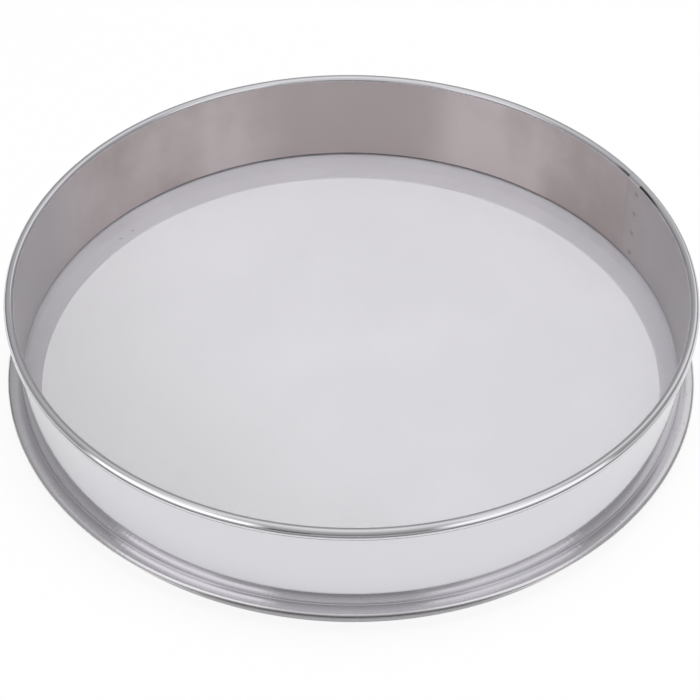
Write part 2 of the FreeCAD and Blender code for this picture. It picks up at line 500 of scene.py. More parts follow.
@dataclass(frozen=True)
class BaseFinish:
    """Sheet polished on the crimp, with pressing marks across it, and satin inside the skirt, where it is
    painted far paler as painted light.

    Ranges and marks are as in the hoop's finish. The heights of the painted shade on the fold are in
    thicknesses of the sheet.
    """

    name: str = "base_sheet"
    colour: Colour = (0.70, 0.685, 0.71)
    dulled: Colour = (0.52, 0.50, 0.505)
    # painted shade: dark colour for the lower half of the fold's outer face at the front
    fold_shade: Colour = (0.20, 0.19, 0.20)
    # painted light: the inside of the foot is far paler than its outside and partly matt, standing in for
    # light that comes through the screen
    inside: Colour = (0.90, 0.885, 0.91)
    inside_metal: float = 0.35
    polish: float = 0.18
    satin: float = 0.40
    brushed: float = 0.5
    line_marks: Point = (25.0, 6500.0)
    line_depth: float = 5e-6
    line_rough: float = 0.05
    scuff_marks: Point = (220.0, 1500.0)
    scuff_range: Point = (0.56, 0.72)
    scuff_height: float = 0.5
    patch_marks: float = 70.0
    patch_range: Point = (0.45, 0.62)
    worn_share: float = 0.5
    worn_rough: float = 0.15
    press_count: float = 90.0
    press_height: float = 12.0
    fold_shade_share: float = 0.8
    fold_shade_head_shares: Point = (0.9, 0.5)
    fold_shade_foot_shares: Point = (1.5, 1.0)
    fold_shade_rear_range: Point = (-0.87, -0.96)

    def material(self, base: "BaseRing") -> bpy.types.Material:
        """Make the material.

        Args:
            base: gives the radius and height that part the crimp from the inside.

        Returns:
            The material.
        """
        graph = SurfaceGraph(self.name)
        edge = base.sheet / 2
        inside = graph.ramp(graph.radius, base.skirt_outer - edge / 2, base.skirt_outer - edge)
        inside = inside * graph.ramp(graph.z, base.seat, base.seat - edge)
        lines = graph.grain(*self.line_marks)
        scuffs = graph.grain(*self.scuff_marks, detail=5.0)
        pressed = graph.rays(self.press_count, detail=3.0)
        patches = graph.cloud(self.patch_marks, detail=4.0)
        worn = graph.ramp(scuffs, *self.scuff_range) * graph.ramp(patches, *self.patch_range)
        colour = graph.blend(worn * self.worn_share, rgba(self.colour), rgba(self.dulled))
        # painted shade on the fold's lower outer face, front side only
        fold_shade = self.fold_shade_mask(graph, base) * self.fold_shade_share
        colour = graph.blend(fold_shade, colour, rgba(self.fold_shade))
        # painted light: the pale colour inside the foot
        colour = graph.blend(inside, colour, rgba(self.inside))
        rough = self.polish + self.line_rough * lines + self.worn_rough * worn
        rough = rough + inside * (self.satin - self.polish)
        height = lines + self.scuff_height * scuffs + self.press_height * pressed * (1.0 - inside)
        normal = graph.bump(height, self.line_depth)
        sockets = {"Base Color": colour, "Roughness": rough, "Normal": normal}
        sockets["Metallic"] = 1.0 - inside * (1.0 - self.inside_metal)
        return graph.metal({**sockets, "Anisotropic": self.brushed, **ROUND_LINES})

    def fold_shade_mask(self, graph: SurfaceGraph, base: "BaseRing") -> Signal:
        """Mask of the painted shade on the lower half of the fold's outer face, on the front side only.

        Args:
            graph: the material's nodes.
            base: gives the fold's place.

        Returns:
            The mask.
        """
        middle = (base.seat - base.sheet + base.top) / 2
        head = graph.ramp(graph.z, *(middle + base.sheet * share for share in self.fold_shade_head_shares))
        foot = graph.ramp(graph.z, *(base.seat - base.sheet * share for share in self.fold_shade_foot_shares))
        return head * foot * graph.ramp(graph.rear(), *self.fold_shade_rear_range)


@dataclass(frozen=True)
class ClothFinish:
    """Fine drawn wire, dull and a little uneven, with painted shade that greys it towards one side."""

    name: str = "wire_cloth"
    colour: Colour = (0.805, 0.79, 0.835)
    dulled: Colour = (0.77, 0.755, 0.80)
    # painted shade: the cloth is greyer towards its left front
    cloth_shade: Colour = (0.58, 0.565, 0.60)
    metal: float = 0.4
    sheen: float = 0.40
    cloud_marks: float = 18.0
    cloud_range: Point = (0.35, 0.65)
    grain_marks: float = 900.0
    grain_rough: float = 0.12
    shade_way: Point = (-0.8, -0.6)
    shade_range: Point = (10.0 * MM, 160.0 * MM)

    def material(self) -> bpy.types.Material:
        """Make the material.

        Returns:
            The material.
        """
        graph = SurfaceGraph(self.name)
        clouds = graph.ramp(graph.cloud(self.cloud_marks, detail=3.0), *self.cloud_range)
        grain = graph.cloud(self.grain_marks)
        colour = graph.blend(clouds, rgba(self.colour), rgba(self.dulled))
        # painted shade towards the left front of the cloth
        side = self.shade_way[0] * graph.x + self.shade_way[1] * graph.y
        colour = graph.blend(graph.ramp(side, *self.shade_range), colour, rgba(self.cloth_shade))
        rough = self.sheen + self.grain_rough * grain
        return graph.metal({"Base Color": colour, "Roughness": rough, "Metallic": self.metal})


@dataclass(frozen=True)
class WireFinish:
    """Drawn wire with lines along it."""

    name: str = "drawn_wire"
    colour: Colour = (0.62, 0.61, 0.61)
    dulled: Colour = (0.45, 0.43, 0.42)
    sheen: float = 0.28
    line_marks: Point = (40.0, 7000.0)
    line_range: Point = (0.4, 0.7)
    line_rough: float = 0.15
    line_depth: float = 6e-6

    def material(self) -> bpy.types.Material:
        """Make the material.

        Returns:
            The material.
        """
        graph = SurfaceGraph(self.name)
        lines = graph.grain(*self.line_marks)
        colour = graph.blend(graph.ramp(lines, *self.line_range), rgba(self.colour), rgba(self.dulled))
        rough = self.sheen + self.line_rough * lines
        normal = graph.bump(lines, self.line_depth)
        return graph.metal({"Base Color": colour, "Roughness": rough, "Normal": normal})


@dataclass(frozen=True)
class WeldFinish:
    """Spot weld, dark and matt, with small burnt pits."""

    name: str = "weld_spots"
    colour: Colour = (0.58, 0.54, 0.53)
    burnt: Colour = (0.42, 0.385, 0.375)
    matt: float = 0.5
    pit_marks: float = 2600.0
    pit_range: Point = (0.4, 0.6)
    pit_rough: float = 0.25
    pit_depth: float = 3e-5

    def material(self) -> bpy.types.Material:
        """Make the material.

        Returns:
            The material.
        """
        graph = SurfaceGraph(self.name)
        pits = graph.cloud(self.pit_marks, detail=4.0)
        colour = graph.blend(graph.ramp(pits, *self.pit_range), rgba(self.colour), rgba(self.burnt))
        rough = self.matt + self.pit_rough * pits
        normal = graph.bump(pits, self.pit_depth)
        return graph.metal({"Base Color": colour, "Roughness": rough, "Normal": normal})


class Strip:
    """Cross-section of bent sheet, sampled along its two faces as radius and height."""

    def __init__(self, start: Point, heading: float, sheet: float) -> None:
        """Start at a radius and height.

        Args:
            start: radius and height of the sheet's middle.
            heading: angle from outwards to up, in radians.
            sheet: thickness of the sheet.
        """
        self.point = Vector(start)
        self.heading = heading
        self.half = sheet / 2
        self.left: List[Vector] = []
        self.right: List[Vector] = []
        self.mark()

    def side(self) -> Vector:
        """Unit vector to the left of the strip."""
        return Vector((-math.sin(self.heading), math.cos(self.heading)))

    def mark(self) -> None:
        """Keep the two faces' points here."""
        self.left.append(self.point + self.side() * self.half)
        self.right.append(self.point - self.side() * self.half)

    def run(self, length: float, steps: int = 1) -> None:
        """Go straight on.

        Args:
            length: how far it goes.
            steps: number of equal steps that it is drawn with.
        """
        forward = Vector((math.cos(self.heading), math.sin(self.heading)))
        for _ in range(steps):
            self.point = self.point + forward * (length / steps)
            self.mark()

    def bend(self, middle_radius: float, angle: float, steps: int) -> None:
        """Turn along an arc.

        Args:
            middle_radius: radius of the sheet's middle.
            angle: turn in radians, to the left if it is positive.
            steps: number of chords that the arc is drawn with.
        """
        sense = math.copysign(1.0, angle)
        pivot = self.point + self.side() * (sense * middle_radius)
        for _ in range(steps):
            self.heading += angle / steps
            self.point = pivot - self.side() * (sense * middle_radius)
            self.mark()


def at_angle(point: Vector, angle: float) -> Vector:
    """Place of a radius and height at an angle round the drum."""
    return Vector((point.x * math.cos(angle), point.x * math.sin(angle), point.y))


def spaced(start: float, end: float, steps: int) -> List[float]:
    """Evenly spaced values, both ends included."""
    return [start + (end - start) * index / steps for index in range(steps + 1)]


def dish(distance: float, radius: float) -> float:
    """Depth of a shallow round dent, as a share, at a distance from its middle."""
    share = min(distance / radius, 1.0)
    return (1 - share * share) ** 2


def eased(share: float) -> float:
    """Smooth step of a share that is held between 0 and 1."""
    held = min(max(share, 0.0), 1.0)
    return held * held * (3 - 2 * held)


def ring_angles(ring: Union["FrameHoop", "BaseRing"], radius: float) -> List[float]:
    """Angles of a ring's columns, from one side of its seam's gap round to the other.

    Args:
        ring: gives the seam, the lap and the number of columns.
        radius: the radius at which the gap is measured.

    Returns:
        The angles.
    """
    gap = ring.seam_gap / 2 / radius
    start = ring.seam_angle + (ring.lap_width / 2 - ring.lap_root) / radius
    return spaced(start + gap, start + 2 * math.pi - gap, ring.columns)


def add_object(name: str, data: bpy.types.ID) -> bpy.types.Object:
    """Add an object to the scene.

    Args:
        name: the object's name.
        data: its mesh, camera or lamp.

    Returns:
        The object.
    """
    made = bpy.data.objects.new(name, data)
    bpy.context.scene.collection.objects.link(made)
    return made


class SheetMesh:
    """Closed mesh of sheets, from grids of points on their left and right faces."""

    def __init__(self) -> None:
        """Start empty."""
        self.vertices: List[Vector] = []
        self.faces: List[List[int]] = []

    def add(self, left: Grid, right: Grid) -> None:
        """Add one sheet and close it round its border.

        Args:
            left: rows of points along the strip, each with one point per column.
            right: the same for the other face.
        """
        rows, columns = len(left), len(left[0])
        first = len(self.vertices)
        other = first + rows * columns
        for grid in (left, right):
            for row in grid:
                self.vertices.extend(row)
        for row in range(rows - 1):
            for column in range(columns - 1):
                here = row * columns + column
                cell = [here, here + columns, here + columns + 1, here + 1]
                self.faces.append([first + corner for corner in cell])
                self.faces.append([other + corner for corner in reversed(cell)])
        border = [row * columns for row in range(rows)]
        border += [(rows - 1) * columns + column for column in range(1, columns)]
        border += [row * columns + columns - 1 for row in range(rows - 2, -1, -1)]
        border += list(range(columns - 2, 0, -1))
        for here, then in zip(border, border[1:] + border[:1]):
            self.faces.append([other + here, other + then, first + then, first + here])

    def build(self, name: str, crease: float = math.radians(38)) -> bpy.types.Object:
        """Make the object.

        Args:
            name: the object's name.
            crease: faces that meet at more than this angle keep a sharp edge.

        Returns:
            The object, linked to the scene.
        """
        mesh = bpy.data.meshes.new(name)
        mesh.from_pydata(self.vertices, [], self.faces)
        mesh.polygons.foreach_set("use_smooth", [True] * len(mesh.polygons))
        mesh.set_sharp_from_angle(angle=crease)
        mesh.update()
        return add_object(name, mesh)


def attach(piece: bpy.types.Object, material: bpy.types.Material, slot: str, *nodes: str) -> None:
    """Dress a piece, let it ride on the drum and let it stand for nodes of the frame.

    Args:
        piece: the piece.
        material: its only material.
        slot: the record's slot that the material belongs to; unused.
        nodes: the nodes that the piece takes the place of.
    """
    piece.data.materials.clear()
    piece.data.materials.append(material)
    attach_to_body(piece, BODY)
    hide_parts(*nodes)
    LOG.info("%s: %d faces", piece.name, len(piece.data.polygons))


@dataclass
class FrameHoop:
    """The drum's wall: flange, wall and curled rim of one strip, with a lap that is spot welded."""

    sheet: float = 0.6 * MM
    wall_inner: float = 145.7 * MM
    bend_radius: float = 1.0 * MM
    curl_inner_radius: float = 1.55 * MM
    curl_drop: float = 1.2 * MM
    curl_end_gap: float = 0.15 * MM
    seam_angle: float = math.radians(27.9)
    seam_gap: float = 0.08 * MM
    lap_width: float = 11.5 * MM
    lap_root: float = 1.0 * MM
    lap_margin: float = 0.6 * MM
    lap_cell: float = 0.4 * MM
    lap_proud: float = 0.14 * MM
    lap_sunk: float = 0.05 * MM
    lap_feather: float = 3.0 * MM
    lap_rise: float = 0.85 * MM
    weld_count: int = 4
    weld_diameter: float = 2.6 * MM
    weld_offset: float = 3.0 * MM
    weld_margin: float = 3.6 * MM
    weld_dent: float = 0.06 * MM
    dent_share: float = 0.6
    mark_share: float = 0.4
    columns: int = 420
    top: float = field(default_factory=lambda: top_of("frame_hoop"))
    bottom: float = field(default_factory=lambda: bottom_of("frame_hoop"))
    flange_outer: float = field(default_factory=lambda: reach_of("frame_hoop"))

    def curl_outer_radius(self) -> float:
        """Radius of the rim's outside."""
        return self.curl_inner_radius + self.sheet

    def curl_height(self) -> float:
        """Height of the middle of the rim's curl."""
        return self.top - self.curl_outer_radius()

    def lap_span(self) -> Point:
        """Lowest and highest point of the flat part of the lap."""
        low = self.bottom + self.sheet + self.bend_radius + self.lap_margin
        return low, self.curl_height() - self.lap_margin

    def weld_heights(self) -> List[float]:
        """Heights of the spot welds, spread evenly along the lap."""
        low, high = self.lap_span()
        return spaced(low + self.weld_margin, high - self.weld_margin, self.weld_count - 1)

    def weld_angle(self) -> float:
        """Angle of the row of welds, a little beside the middle of the lap."""
        return self.seam_angle - self.weld_offset / self.wall_inner

    def section(self) -> Strip:
        """The strip's cross-section, from the flange's edge to the end of the curl, an oval outside.

        Returns:
            The strip.
        """
        middle = self.wall_inner + self.sheet / 2
        flange = self.bottom + self.sheet / 2
        bend = self.bend_radius + self.sheet / 2
        curl = self.curl_inner_radius + self.sheet / 2
        strip = Strip((self.flange_outer, flange), math.pi, self.sheet)
        strip.run(self.flange_outer - middle - bend)
        strip.bend(bend, -math.pi / 2, steps=8)
        strip.run(self.curl_height() - flange - bend, steps=6)
        diagonal = math.sqrt(0.5)
        small = curl - self.curl_drop / 2 * diagonal
        large = curl + self.curl_drop / 2 * (1 + diagonal)
        clear = self.curl_inner_radius - self.curl_end_gap
        strip.bend(curl, -math.pi / 2, steps=9)
        strip.bend(small, -math.pi / 4, steps=5)
        strip.bend(large, -math.pi / 2, steps=12)
        strip.bend(small, -math.pi / 4 - math.asin(clear / (small + self.sheet / 2)), steps=10)
        return strip

    def build(self, finish: HoopFinish) -> None:
        """Make and dress the hoop.

        Args:
            finish: the finish that it gets.
        """
        strip = self.section()
        angles = ring_angles(self, self.wall_inner)
        grids = [
            [[at_angle(point, angle) for angle in angles] for point in side]
            for side in (strip.left, strip.right)
        ]
        work = SheetMesh()
        work.add(*grids)
        self.add_lap(work)
        attach(work.build("drum_hoop"), finish.material(self), "polished_sheet", "frame_hoop")

    def add_lap(self, work: SheetMesh) -> None:
        """Add the strip's end, inside the wall, ground thin at its edges and dented at each weld.

        Args:
            work: the mesh that it is added to.
        """
        low = self.lap_span()[0]
        high = self.curl_height() + self.lap_rise
        half = self.lap_width / 2
        sunk = self.wall_inner + self.sheet / 2
        inside: Grid = []
        outside: Grid = []
        for height in spaced(low, high, round((high - low) / self.lap_cell)):
            near = min(self.weld_heights(), key=lambda weld: abs(weld - height))
            foot = eased((height - low) / self.lap_feather)
            inner_row, outer_row = [], []
            for offset in spaced(-half, half, round(self.lap_width / self.lap_cell)):
                angle = self.seam_angle + offset / self.wall_inner
                edge = eased((half - abs(offset)) / self.lap_feather)
                proud = (self.lap_proud + self.lap_sunk) * foot * edge - self.lap_sunk
                spot = math.hypot(offset + self.weld_offset, height - near)
                dent = self.weld_dent * dish(spot, self.weld_diameter * self.dent_share)
                inner_row.append(at_angle(Vector((self.wall_inner - proud + dent, height)), angle))
                outer_row.append(at_angle(Vector((sunk, height)), angle))
            inside.append(inner_row)
            outside.append(outer_row)
        work.add(inside, outside)


@dataclass
class RimWire:
    """The wire inside the rim's curl, its ends butted a little beside the seam."""

    butt_gap: float = 1.0 * MM
    merge_share: float = 0.01
    columns: int = 300
    sides: int = 16
    bottom: float = field(default_factory=lambda: bottom_of("rim_wire"))
    top: float = field(default_factory=lambda: top_of("rim_wire"))
    reach: float = field(default_factory=lambda: reach_of("rim_wire"))

    def build(self, finish: WireFinish, hoop: FrameHoop) -> None:
        """Make and dress the wire as a closed bent bar.

        Args:
            finish: the finish that it gets.
            hoop: gives the place of the seam.
        """
        radius = (self.top - self.bottom) / 2
        centre = Vector((self.reach - radius, self.bottom + radius))
        butt = hoop.seam_angle - hoop.lap_width / hoop.wall_inner
        gap = self.butt_gap / 2 / centre.x
        angles = spaced(butt + 2 * math.pi - gap, butt + gap, self.columns)
        upper, lower = [], []
        for turn in spaced(0.0, math.pi, self.sides // 2):
            over = centre + Vector((math.cos(turn), math.sin(turn))) * radius
            under = centre + Vector((math.cos(turn), -math.sin(turn))) * radius
            upper.append([at_angle(over, angle) for angle in angles])
            lower.append([at_angle(under, angle) for angle in angles])
        work = SheetMesh()
        work.add(upper, lower)
        made = work.build("rim_core_wire")
        merge_doubles(made, radius * self.merge_share)
        attach(made, finish.material(), "drawn_wire", "rim_wire")


def merge_doubles(piece: bpy.types.Object, distance: float) -> None:
    """Merge a piece's vertices that lie close together, and turn its faces outwards.

    Args:
        piece: the piece.
        distance: vertices closer together than this are merged.
    """
    work = bmesh.new()
    work.from_mesh(piece.data)
    bmesh.ops.remove_doubles(work, verts=work.verts, dist=distance)
    bmesh.ops.recalc_face_normals(work, faces=work.faces)
    work.to_mesh(piece.data)
    work.free()


@dataclass
class BaseRing:
    """The foot: rest flange, skirt, seat and the fold that is crimped over the hoop's flange."""

    sheet: float = 0.8 * MM
    skirt_outer: float = 147.85 * MM
    rest_inner: float = 138.65 * MM
    foot_bend: float = 1.0 * MM
    skirt_bend: float = 0.6 * MM
    lip_edge: float = 147.18 * MM
    lip_crown: float = math.radians(14.0)
    edge_radius: float = 0.45 * MM
    edge_turn: float = math.radians(65.0)
    bevel_slope: float = math.radians(40.0)
    bevel_radius: float = 0.8 * MM
    fold_radius: float = 0.55 * MM
    seam_angle: float = math.radians(140.0)
    seam_gap: float = 0.08 * MM
    lap_width: float = 16.0 * MM
    lap_root: float = 4.0 * MM
    lap_margin: float = 1.0 * MM
    lap_cell: float = 0.45 * MM
    weld_count: int = 2
    weld_diameter: float = 2.6 * MM
    weld_dent: float = 0.18 * MM
    dent_share: float = 0.8
    mark_share: float = 0.7
    columns: int = 420
    ripple: float = 0.05 * MM
    ripple_waves: Point = (14.0, 45.0)
    ripple_shares: Point = (0.6, 0.4)
    seat: float = field(default_factory=lambda: bottom_of("mesh_screen"))
    top: float = field(default_factory=lambda: top_of("base_ring"))
    reach: float = field(default_factory=lambda: reach_of("base_ring"))

    def section(self) -> Tuple[Strip, int]:
        """The ring's cross-section.

        Returns:
            The strip, and the row where the crimped fold starts.
        """
        half = self.sheet / 2
        foot, bend = self.foot_bend + half, self.skirt_bend + half
        skirt = self.skirt_outer - half
        seat = self.seat - half
        fold_centre = self.reach - self.ripple - self.fold_radius - half
        strip = Strip((self.rest_inner, half), 0.0, self.sheet)
        strip.run(skirt - foot - self.rest_inner, steps=3)
        strip.bend(foot, math.pi / 2, steps=6)
        strip.run(seat - bend - foot - half, steps=2)
        strip.bend(bend, -math.pi / 2, steps=6)
        strip.run(fold_centre - skirt - bend, steps=2)
        fold_row = len(strip.left) - 1
        strip.bend(self.fold_radius, math.pi - self.bevel_slope, steps=12)
        shoulder = self.bevel_radius * (math.cos(self.lip_crown) - math.cos(self.bevel_slope))
        crown = (strip.point.x - self.lip_edge) / 2 * math.tan(self.lip_crown / 2)
        rise = self.top - half - strip.point.y - shoulder - crown
        strip.run(rise / math.sin(self.bevel_slope), steps=3)
        strip.bend(self.bevel_radius, self.bevel_slope - self.lip_crown, steps=6)
        chord = strip.point.x - self.lip_edge
        strip.bend(chord / 2 / math.sin(self.lip_crown), 2 * self.lip_crown, steps=8)
        strip.bend(self.edge_radius, self.edge_turn, steps=8)
        return strip, fold_row

    def place(self, point: Vector, angle: float, free: float) -> Vector:
        """Place of a point of the section, with the slight unevenness of the crimp.

        Args:
            point: radius and height.
            angle: angle round the drum.
            free: how much the crimping moves the sheet here, from 0 to 1.

        Returns:
            The place.
        """
        spot = Vector((math.cos(angle), math.sin(angle), 0.0))
        waves = zip(self.ripple_waves, self.ripple_shares)
        shift = sum(noise.noise(spot * count) * share for count, share in waves)
        return at_angle(point + Vector((shift * self.ripple * free, 0.0)), angle)

    def build(self, finish: BaseFinish) -> None:
        """Make and dress the ring.

        Args:
            finish: the finish that it gets.
        """
        strip, fold_row = self.section()
        angles = ring_angles(self, self.rest_inner)
        grids: List[Grid] = []
        for points in (strip.left, strip.right):
            grid = []
            for row, point in enumerate(points):
                free = 1.0 if row > fold_row else 0.0
                grid.append([self.place(point, angle, free) for angle in angles])
            grids.append(grid)
        work = SheetMesh()
        work.add(*grids)
        self.add_lap(work)
        attach(work.build("base_foot_ring"), finish.material(self), "base_sheet", "base_ring")

    def lap_span(self) -> Point:
        """Inner and outer radius of the lap on the rest flange."""
        flat = self.skirt_outer - self.sheet - self.foot_bend
        return self.rest_inner + self.lap_margin, flat - self.lap_margin

    def weld_places(self) -> List[Point]:
        """Places of the spot welds, spread evenly along the lap.

        Returns:
            Radius and angle of each.
        """
        inner, outer = self.lap_span()
        radius = (inner + outer) / 2
        pitch = self.lap_width / self.weld_count / radius
        middle = (self.weld_count - 1) / 2
        return [(radius, self.seam_angle + pitch * (index - middle)) for index in range(self.weld_count)]

    def add_lap(self, work: SheetMesh) -> None:
        """Add the strip's end, which lies on the rest flange and is dented at each weld.

        Args:
            work: the mesh that it is added to.
        """
        inner, outer = self.lap_span()
        half = self.lap_width / 2 / inner
        steps = round(self.lap_width / self.lap_cell)
        angles = spaced(self.seam_angle + half, self.seam_angle - half, steps)
        dent_radius = self.weld_diameter * self.dent_share
        under: Grid = []
        over: Grid = []
        for radius in spaced(inner, outer, round((outer - inner) / self.lap_cell)):
            low_row, high_row = [], []
            for angle in angles:
                dent = self.weld_dent * max(
                    dish(math.hypot(radius - spot, (angle - turn) * spot), dent_radius)
                    for spot, turn in self.weld_places()
                )
                low_row.append(at_angle(Vector((radius, self.sheet / 2)), angle))
                high_row.append(at_angle(Vector((radius, 2 * self.sheet - dent)), angle))
            under.append(low_row)
            over.append(high_row)
        work.add(under, over)


class GeometryGraph(Graph):
    """A geometry tree with named inputs, which makes one plain mesh."""

    def __init__(self, name: str) -> None:
        """Start a tree with its output and no inputs.

        Args:
            name: the tree's name.
        """
        super().__init__(bpy.data.node_groups.new(name, "GeometryNodeTree"))
        self.tree.interface.new_socket("Geometry", in_out="OUTPUT", socket_type="NodeSocketGeometry")
        self.group = self.node("NodeGroupInput")
        self.values: Dict[str, Any] = {}

    def size(self, name: str, value: Any, kind: str = "Float") -> Signal:
        """Add a named input.

        Args:
            name: the input's name.
            value: the value that it gets on the modifier.
            kind: Float, Int, Vector or Material.

        Returns:
            The input as a signal.
        """
        made = self.tree.interface.new_socket(name, in_out="INPUT", socket_type="NodeSocket" + kind)
        self.values[made.identifier] = value
        return Signal(self, socket_of(self.group.outputs, made.identifier))

    def realise(self, name: str, geometry: Signal, material: Signal) -> bpy.types.Object:
        """End the tree and turn what it makes into a plain mesh.

        Args:
            name: the object's name.
            geometry: what the tree has made.
            material: the input that holds the material.

        Returns:
            The object, linked to the scene, with no modifier.
        """
        real = self.signal("GeometryNodeRealizeInstances", {}, {"Geometry": geometry})
        dressed = self.signal("GeometryNodeSetMaterial", {}, {"Geometry": real, "Material": material})
        self.node("NodeGroupOutput", {}, {"Geometry": dressed})
        made = add_object(name, bpy.data.meshes.new(name))
        modifier = made.modifiers.new(self.tree.name, "NODES")
        modifier.node_group = self.tree
        for identifier, value in self.values.items():
            modifier[identifier] = value
        depsgraph = bpy.context.evaluated_depsgraph_get()
        mesh = bpy.data.meshes.new_from_object(made.evaluated_get(depsgraph))
        made.modifiers.remove(modifier)
        made.data = mesh
        mesh.name = name
        mesh.polygons.foreach_set("use_smooth", [True] * len(mesh.polygons))
        return made


@dataclass
class WireCloth:
    """The screen: two layers of fine wires that cross, trimmed to a disc held in the crimp."""

    pitch: float = 0.36 * MM
    wire: float = 0.13 * MM
    turn: float = math.radians(8.0)
    jitter: float = 0.04 * MM
    sides: int = 6
    seed: int = 7
    crease: float = math.radians(70)
    bottom: float = field(default_factory=lambda: bottom_of("mesh_screen"))
    top: float = field(default_factory=lambda: top_of("mesh_screen"))
    reach: float = field(default_factory=lambda: reach_of("mesh_screen"))

    def build(self, finish: ClothFinish) -> None:
        """Make and dress the cloth.

        Args:
            finish: the finish that it gets.
        """
        graph = GeometryGraph("wire_cloth")
        pitch = graph.size("Pitch", self.pitch)
        diameter = graph.size("Wire diameter", self.wire)
        reach = graph.size("Disc radius", self.reach)
        jitter = graph.size("Unevenness", self.jitter)
        seed = graph.size("Seed", self.seed, "Int")
        steel = finish.material()
        material = graph.size("Material", steel, "Material")
        join = graph.node("GeometryNodeJoinGeometry")
        for index, turn in enumerate((self.turn, self.turn + math.pi / 2)):
            wires = self.layer(graph, pitch, diameter, reach, jitter, seed + index)
            height = (self.bottom + self.top) / 2 + diameter * (index - 0.5)
            sockets = {
                "Geometry": wires,
                "Translation": graph.vector(0.0, 0.0, height),
                "Rotation": (0.0, 0.0, turn),
            }
            graph.feed(join.inputs[0], graph.signal("GeometryNodeTransform", {}, sockets))
        made = graph.realise("screen_wires", Signal(graph, join.outputs[0]), material)
        made.data.set_sharp_from_angle(angle=self.crease)
        attach(made, steel, "wire_cloth", "mesh_screen")

    def layer(
        self,
        graph: GeometryGraph,
        pitch: Signal,
        diameter: Signal,
        reach: Signal,
        jitter: Signal,
        seed: Signal,
    ) -> Signal:
        """Parallel wires along X, each as long as the disc is there.

        Args:
            graph: the tree that they are added to.
            pitch: distance from wire to wire.
            diameter: the wires' diameter.
            reach: radius of the disc.
            jitter: most that a wire lies beside its place.
            seed: seed of that unevenness.

        Returns:
            The wires as instances.
        """
        steps = reach * 2.0 / pitch
        count = steps.math("FLOOR", steps)
        start = graph.vector(0.0, (count - 1.0) * pitch * -0.5, 0.0)
        sockets = {"Count": count, "Start Location": start, "Offset": graph.vector(0.0, pitch, 0.0)}
        line = graph.signal("GeometryNodeMeshLine", {"mode": "OFFSET"}, sockets)
        across = graph.axes(graph.signal("GeometryNodeInputPosition"))[1]
        chord = (reach * reach - across * across).larger(0.0).root() * 2.0
        sockets = {"Vertices": self.sides, "Radius": diameter / 2.0, "Depth": 1.0}
        wire = graph.signal("GeometryNodeMeshCylinder", {}, sockets)
        sockets = {"Geometry": wire, "Rotation": (0.0, math.pi / 2, 0.0)}
        lying = graph.signal("GeometryNodeTransform", {}, sockets)
        sockets = {"Min_001": jitter * -1.0, "Max_001": jitter, "Seed": seed}
        shaken = graph.signal("FunctionNodeRandomValue", {"data_type": "FLOAT"}, sockets, "Value_001")
        sockets = {"Geometry": line, "Offset": graph.vector(0.0, shaken, 0.0)}
        moved = graph.signal("GeometryNodeSetPosition", {}, sockets)
        sockets = {"Points": moved, "Instance": lying, "Scale": graph.vector(chord, 1.0, 1.0)}
        return graph.signal("GeometryNodeInstanceOnPoints", {}, sockets)


class Facing(Enum):
    """The way that a weld spot faces: its value is its tilt from straight up."""

    INWARD = -math.pi / 2
    UP = 0.0


@dataclass
class SpotWelds:
    """A row of weld spots: flat lens shapes with a dished face."""

    name: str
    node: str
    places: List[Vector]
    facing: Facing
    turn: float
    diameter: float
    thickness: float = 0.12 * MM
    dent: float = 0.06 * MM
    segments: int = 24
    rings: int = 12

    def build(self, finish: WeldFinish) -> None:
        """Make and dress the spots.

        Args:
            finish: the finish that they get.
        """
        graph = GeometryGraph(self.name)
        radius = graph.size("Radius", self.diameter / 2)
        thickness = graph.size("Thickness", self.thickness)
        dent = graph.size("Dent", self.dent)
        count = graph.size("Count", len(self.places), "Int")
        start = graph.size("First spot", self.places[0], "Vector")
        step = graph.size("Step", self.places[1] - self.places[0], "Vector")
        steel = finish.material()
        material = graph.size("Material", steel, "Material")
        sockets = {"Count": count, "Start Location": start, "Offset": step}
        line = graph.signal("GeometryNodeMeshLine", {"mode": "OFFSET"}, sockets)
        sockets = {
            "Points": line,
            "Instance": self.lens(graph, radius, thickness, dent),
            "Rotation": (0.0, self.facing.value, self.turn),
        }
        spots = graph.signal("GeometryNodeInstanceOnPoints", {}, sockets)
        made = graph.realise(self.name, spots, material)
        attach(made, steel, "weld_spots", self.node)

    def lens(self, graph: GeometryGraph, radius: Signal, thickness: Signal, dent: Signal) -> Signal:
        """One spot, facing up, with its middle pressed in.

        Args:
            graph: the tree that it is added to.
            radius: the spot's radius.
            thickness: its height above its widest part.
            dent: how deep its middle is pressed in.

        Returns:
            The spot's mesh.
        """
        sockets = {"Segments": self.segments, "Rings": self.rings, "Radius": radius}
        ball = graph.signal("GeometryNodeMeshUVSphere", {}, sockets)
        x, y, z = graph.axes(graph.signal("GeometryNodeInputPosition"))
        share = 1.0 - (x * x + y * y) / (radius * radius)
        height = z * thickness / radius - share.larger(0.0) ** 2.0 * dent
        sockets = {"Geometry": ball, "Position": graph.vector(x, y, height)}
        return graph.signal("GeometryNodeSetPosition", {}, sockets)


@dataclass
class PhotoCamera:
    """Camera at the photograph's place, worked out from the ellipses of the rim and the foot."""

    place: Tuple[float, float, float] = (0.0, -0.6781, 0.64335)
    down: float = math.radians(42.967)
    turn: float = 0.00083
    roll: float = 0.00853
    lens: float = 106.5
    sensor: float = 36.0

    def build(self) -> None:
        """Add the camera and make it the scene's own."""
        data = bpy.data.cameras.new("photo_camera")
        data.lens = self.lens
        data.sensor_width = self.sensor
        made = add_object("photo_camera", data)
        heading = Matrix.Rotation(self.turn, 4, "Z") @ Matrix.Rotation(math.pi / 2 - self.down, 4, "X")
        made.matrix_world = Matrix.Translation(self.place) @ heading @ Matrix.Rotation(self.roll, 4, "Z")
        bpy.context.scene.camera = made


